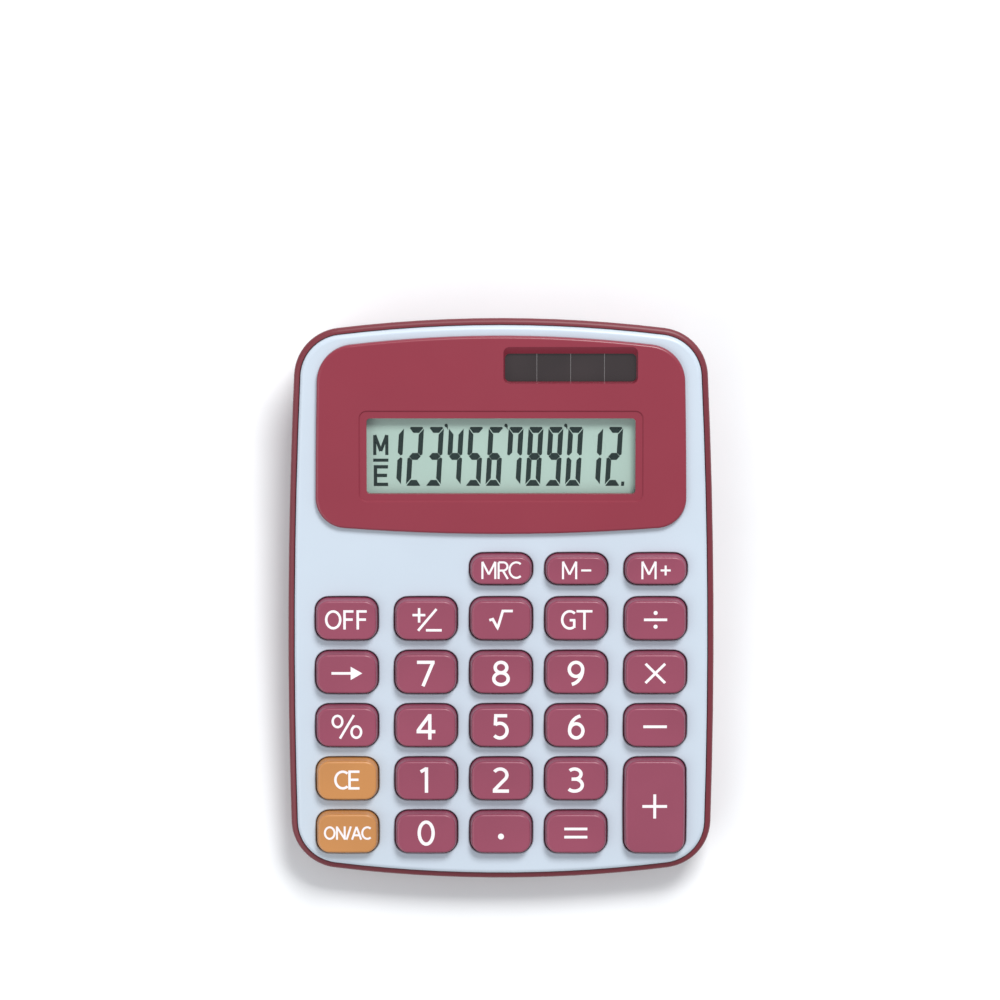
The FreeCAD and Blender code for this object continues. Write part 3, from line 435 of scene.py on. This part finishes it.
def printed(name, polygons, node, centre, material, lift=0.03):
    """Lays flat polygons, in millimetres about a centre, on a node's face as one thin closed solid."""
    points, faces = [], []
    for polygon in polygons:
        if signed_area(polygon) < 0:
            polygon = polygon[::-1]
        faces.append(list(range(len(points), len(points) + len(polygon))))
        points += [Vector(p) for p in polygon]
    flat, _, cells, _, _, sources = delaunay_2d_cdt(points, [], faces, 0, 1e-4)
    cells = [cell for cell, source in zip(cells, sources) if source]
    search = tree_of(node)
    tops = []
    for p in flat:
        start = centre + FACE_X * p.x * MM + FACE_Y * p.y * MM + FACE_OUT * RAY_START
        hit = search.ray_cast(start, -FACE_OUT)[0]
        if hit is None:
            raise RuntimeError("the drawing " + name + " runs off its surface")
        tops.append(hit)
    bm = bmesh.new()
    upper = [bm.verts.new(p + FACE_OUT * lift * MM) for p in tops]
    lower = [bm.verts.new(p - FACE_OUT * INK_SINK) for p in tops]
    sides = set()
    for cell in cells:
        bm.faces.new([upper[i] for i in cell])
        bm.faces.new([lower[i] for i in reversed(cell)])
        sides.update(zip(cell, cell[1:] + cell[:1]))
    for a, b in sorted(sides):
        if (b, a) not in sides:
            bm.faces.new([upper[b], upper[a], lower[a], lower[b]])
    loose = [v for v in bm.verts if not v.link_faces]
    bmesh.ops.delete(bm, geom=loose, context="VERTS")
    bmesh.ops.recalc_face_normals(bm, faces=bm.faces)
    mesh = bpy.data.meshes.new(name)
    bm.to_mesh(mesh)
    bm.free()
    mesh.materials.append(material)
    obj = bpy.data.objects.new(name, mesh)
    bpy.context.scene.collection.objects.link(obj)
    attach(obj, BODY_OF[node])


for node, polygons in LEGENDS.items():
    printed("legend_" + node, polygons, node, middle(node), INK_WHITE)

# LCD figures: seven-segment digits that lean to the right, each drawn from its lower left corner. W and H are
# a digit's width and height, and the digits' middle lies LCD_DROP below the window's.
W, H, BAR = 3.7, 14.9, 1.22
HALF = H / 2
LCD_DROP = 0.5
LEAN = math.tan(math.radians(3.3))
UPPER_RIGHT = [(W, H - 0.42), (W - BAR, H - 1.92), (W - BAR, HALF + 0.98), (W - 0.50, HALF + 0.22),
               (W, HALF + 0.50)]
SEGMENTS = {
    "a": [(0.42, H), (W - 0.42, H), (W - 0.18, H - 0.32), (W - 1.12, H - 1.50), (1.12, H - 1.50),
          (0.18, H - 0.32)],
    "b": UPPER_RIGHT,
    "c": [(x, H - y) for x, y in UPPER_RIGHT],
    "d": [(0.18, 0), (W - 0.18, 0), (W - 0.18, 0.18), (W - 1.12, 1.50), (1.12, 1.50), (0.18, 0.18)],
    "e": [(W - x, H - y) for x, y in UPPER_RIGHT],
    "f": [(W - x, y) for x, y in UPPER_RIGHT],
    "g": [(0.42, HALF), (1.18, HALF + 0.88), (W - 1.18, HALF + 0.88), (W - 0.42, HALF),
          (W - 1.18, HALF - 0.88), (1.18, HALF - 0.88)],
}
LIT = {"0": "abcdef", "1": "bc", "2": "abged", "3": "abgcd", "4": "fgbc", "5": "afgcd", "6": "afgecd",
       "7": "abcf", "8": "abcdefg", "9": "abcdfg"}
APOSTROPHE = [(W + 0.98, H - 0.80), (W + 0.98, H + 0.25), (W + 0.80, H + 0.72), (W + 0.45, H + 0.85),
              (W + 0.16, H + 0.62), (W + 0.12, H + 0.25), (W + 0.34, H - 0.02), (W + 0.62, H - 0.10),
              (W + 0.80, H - 0.42)]
POINT = [(W + 0.35, 0), (W + 1.1, 0), (W + 1.1, 1.1), (W + 0.35, 1.1)]
FIRST_LEFT, DIGIT_PITCH = -28.68, 4.96


def leaned(polygon, left):
    """A polygon of a digit's cell put in its place on the display."""
    return [Vector((left + x + y * LEAN, y - HALF - LCD_DROP)) for x, y in polygon]


lcd = []
for place, digit in enumerate("123456789012"):
    left = FIRST_LEFT + DIGIT_PITCH * place
    lcd += [leaned(SEGMENTS[s], left) for s in LIT[digit]]
    if place in (2, 5, 8):
        lcd.append(leaned(APOSTROPHE, left))
lcd.append(leaned(POINT, left))

# The memory sign M, the minus sign and the error sign E, one above the other to the left of the digits
SIGNS_X = -29.95
MEMORY_SIGN = [[(-1.5, -2.6), (-1.5, 2.45)], [(-1.5, 2.45), (0, -1.6)], [(0, -1.6), (1.5, 2.45)],
               [(1.5, 2.45), (1.5, -2.6)]]
MINUS_SIGN = [[(-1.9, 0), (1.9, 0)]]
ERROR_SIGN = [[(-1.35, 2.65), (-1.35, -2.65)], [(-1.35, 2.22), (1.8, 2.22)], [(-1.35, 0.05), (1.55, 0.05)],
              [(-1.35, -2.22), (1.8, -2.22)]]
for drawing, pen, y in ((MEMORY_SIGN, 0.80, 2.45), (MINUS_SIGN, 0.80, -1.45), (ERROR_SIGN, 0.86, -5.35)):
    lcd += shifted(lines(drawing, pen), SIGNS_X, y)
printed("lcd_figures", lcd, "lcd_front_glass", middle("display_window"), INK_LCD, lift=0.02)

# The lines between the solar cell's strips, and its busbars
CELL_LINES = lines([[(x, -3.8), (x, 3.8)] for x in (-8.4, 0.0, 8.4)], 0.13)
CELL_LINES += lines([[(-16.6, y), (16.6, y)] for y in (-3.75, 3.75)], 0.10)
printed("solar_lines", CELL_LINES, "solar_cell", middle("solar_cell"), LINE_SILVER,
        lift=0.01)


# ---------------------------------------------------------------- floor, lights and camera

def floor():
    """A pale flat floor, large enough to fill every view."""
    material, tree, shader = new_material("floor_pale")
    mixed = two_tone(tree, spread(tree, noise(tree, 60.0), 0, 1), (0.80, 0.81, 0.82), (0.84, 0.85, 0.86))
    tree.links.new(mixed, shader.inputs["Base Color"])
    shader.inputs["Roughness"].default_value = 0.65
    bm = bmesh.new()
    bmesh.ops.create_grid(bm, x_segments=4, y_segments=4, size=3.0)
    mesh = bpy.data.meshes.new("floor")
    bm.to_mesh(mesh)
    bm.free()
    mesh.materials.append(material)
    obj = bpy.data.objects.new("floor", mesh)
    bpy.context.scene.collection.objects.link(obj)


def area_light(name, place, target, size, watts):
    """A soft rectangular light aimed at a point."""
    data = bpy.data.lights.new(name, "AREA")
    data.shape = "RECTANGLE"
    data.size, data.size_y = size
    data.energy = watts
    obj = bpy.data.objects.new(name, data)
    obj.location = place
    obj.rotation_euler = (Vector(target) - Vector(place)).to_track_quat("-Z", "Y").to_euler()
    bpy.context.scene.collection.objects.link(obj)


floor()
LIT_POINT = (0, 0, 0.01)
area_light("key_light", (0.35, 0.95, 1.15), LIT_POINT, (0.6, 0.5), 22)
area_light("fill_light", (-0.9, -0.6, 1.1), LIT_POINT, (1.2, 1.0), 7)
world = bpy.data.worlds.new("studio")
world.use_nodes = True
world.node_tree.nodes["Background"].inputs["Color"].default_value = (0.93, 0.96, 1.0, 1)
world.node_tree.nodes["Background"].inputs["Strength"].default_value = 0.55
bpy.context.scene.world = world
bpy.context.scene.view_settings.view_transform = "Standard"

# The camera looks down on the face from a little beyond its display end. VIEW_WIDTH is the picture's width at
# the face, and the offsets say how far the calculator lies from the picture's middle.
VIEW_TILT = math.radians(10.0)
FACE_MIDDLE = Vector((0, 0, 0.018))
VIEW_WIDTH = 0.250
OFFSET_DOWN, OFFSET_RIGHT = 0.02525, 0.00025
DISTANCE = 1.5
toward = FACE_OUT * math.cos(VIEW_TILT) + FACE_Y * math.sin(VIEW_TILT)
camera_data = bpy.data.cameras.new("camera")
camera_data.sensor_width = 36.0
camera_data.lens = camera_data.sensor_width * DISTANCE / VIEW_WIDTH
camera = bpy.data.objects.new("camera", camera_data)
bpy.context.scene.collection.objects.link(camera)
up = (FACE_Y - toward * FACE_Y.dot(toward)).normalized()
right = up.cross(toward)
aim = FACE_MIDDLE + up * OFFSET_DOWN - right * OFFSET_RIGHT
camera.location = aim + toward * DISTANCE
camera.rotation_mode = "QUATERNION"
camera.rotation_quaternion = Matrix((right, up, toward)).transposed().to_quaternion()
camera_data.clip_start, camera_data.clip_end = 0.05, 50.0
bpy.context.scene.camera = camera

bpy.context.view_layer.update()
